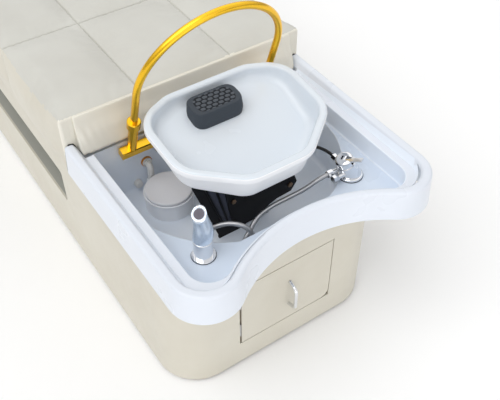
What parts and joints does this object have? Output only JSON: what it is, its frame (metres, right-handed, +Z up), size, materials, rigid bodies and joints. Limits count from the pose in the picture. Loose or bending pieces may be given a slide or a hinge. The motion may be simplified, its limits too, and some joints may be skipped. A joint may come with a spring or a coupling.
{
  "type": "hair washing bed",
  "caption": "Padded salon bed with a quilted top, a wash tray round a tilting basin with neck rest, a rain arch, a mixer, a hand shower and a base with a cupboard door.",
  "frame": {"origin": "centre of the bed's footprint, on the floor", "axes": "+X to the operator's right hand when they sit at the basin and face the bed's foot, +Y from the basin to the foot of the bed, +Z up"},
  "size_m": [0.7, 1.9999, 0.8955],
  "materials": {
    "seat_cover": "satin",
    "base_cover": "satin",
    "plywood": "matte",
    "lining": "matte",
    "tray_shell": "gloss",
    "basin_shell": "gloss",
    "neck_gel": "matte",
    "gold": "polished",
    "chrome_parts": "polished",
    "steel_parts": "brushed",
    "braid": "brushed",
    "black_plastic": "matte",
    "black_rubber": "matte",
    "grey_plastic": "satin",
    "amber_seal": "satin"
  },
  "bodies": {
    "bed": {"bar_bracket_left": "steel_parts", "bar_bracket_right": "steel_parts", "base_cover": "base_cover", "basin_pedestal": "black_plastic", "bulkhead": "plywood", "elbow_seal": "amber_seal", "end_pad": "base_cover", "end_shell_foot": "plywood", "end_shell_head": "plywood", "fan_plate": "black_plastic", "feed_hose": "black_rubber", "filter_body": "grey_plastic", "filter_lid": "tray_shell", "floor_board": "plywood", "floor_coupling_1": "chrome_parts", "floor_coupling_2": "chrome_parts", "floor_coupling_3": "chrome_parts", "glide_1": "black_rubber", "glide_2": "black_rubber", "glide_3": "black_rubber", "glide_4": "black_rubber", "hand_holder": "chrome_parts", "hand_hose": "braid", "head_end_panel": "seat_cover", "hinge_frame_lower": "steel_parts", "hinge_frame_upper": "steel_parts", "loop_hose": "braid", "mattress_board": "plywood", "mattress_cushion": "seat_cover", "mixer_body": "chrome_parts", "mixer_flange": "chrome_parts", "mixer_hose": "braid", "niche_box_left": "lining", "niche_box_right": "lining", "plate_bolt_left": "chrome_parts", "plate_bolt_right": "chrome_parts", "side_fitting": "chrome_parts", "side_panel_left": "plywood", "side_panel_right": "plywood", "valve_knob": "tray_shell", "wall_elbow": "tray_shell", "wash_tray": "tray_shell", "waste_trap": "black_plastic", "well_outlet": "chrome_parts"},
    "door": {"door_pad": "base_cover", "door_board": "plywood", "door_handle": "chrome_parts", "hinge_leaf_lower": "steel_parts", "hinge_leaf_upper": "steel_parts"},
    "arch": {"manifold_bar": "gold", "arch_collar_left": "gold", "arch_collar_right": "gold", "arch_tube": "gold"},
    "basin": {"wash_basin": "basin_shell"},
    "neck_rest": {"neck_rest": "neck_gel"},
    "mixer_cap": {"mixer_cap": "chrome_parts"},
    "mixer_lever": {"mixer_lever": "chrome_parts"},
    "hand_shower": {"hand_shower": "chrome_parts", "spray_face": "black_plastic"},
    "strainer": {"well_strainer": "chrome_parts"}
  },
  "joints": [
    {"name": "door_hinge", "type": "hinge", "parent": "bed", "child": "door", "pos_m": [-0.135, -0.8505, 0.202], "axis": [0, 0, -1], "range_deg": [0, 100]},
    {"name": "arch_tilt", "type": "hinge", "parent": "bed", "child": "arch", "pos_m": [0, -0.454, 0.492], "axis": [1, 0, 0], "range_deg": [-8, 4]},
    {"name": "basin_tilt", "type": "hinge", "parent": "bed", "child": "basin", "pos_m": [0, -0.679, 0.548], "axis": [1, 0, 0], "range_deg": [-6, 4]},
    {"name": "neck_rest_lift", "type": "slide", "parent": "basin", "child": "neck_rest", "axis": [0, -0.108, 0.9942], "range_m": [0, 0.12]},
    {"name": "mixer_swivel", "type": "hinge", "parent": "bed", "child": "mixer_cap", "pos_m": [0.20062, -0.80704, 0.51389], "axis": [-0.3716, 0.1654, 0.9135], "range_deg": [-35, 35]},
    {"name": "lever_lift", "type": "hinge", "parent": "mixer_cap", "child": "mixer_lever", "pos_m": [0.19654, -0.80522, 0.52394], "axis": [-0.8605, -0.4309, -0.2719], "range_deg": [0, 18]},
    {"name": "hand_shower_lift", "type": "slide", "parent": "bed", "child": "hand_shower", "axis": [0, 0, 1], "range_m": [0, 0.12]},
    {"name": "strainer_lift", "type": "slide", "parent": "bed", "child": "strainer", "axis": [0, 0, 1], "range_m": [0, 0.06]}
  ]
}
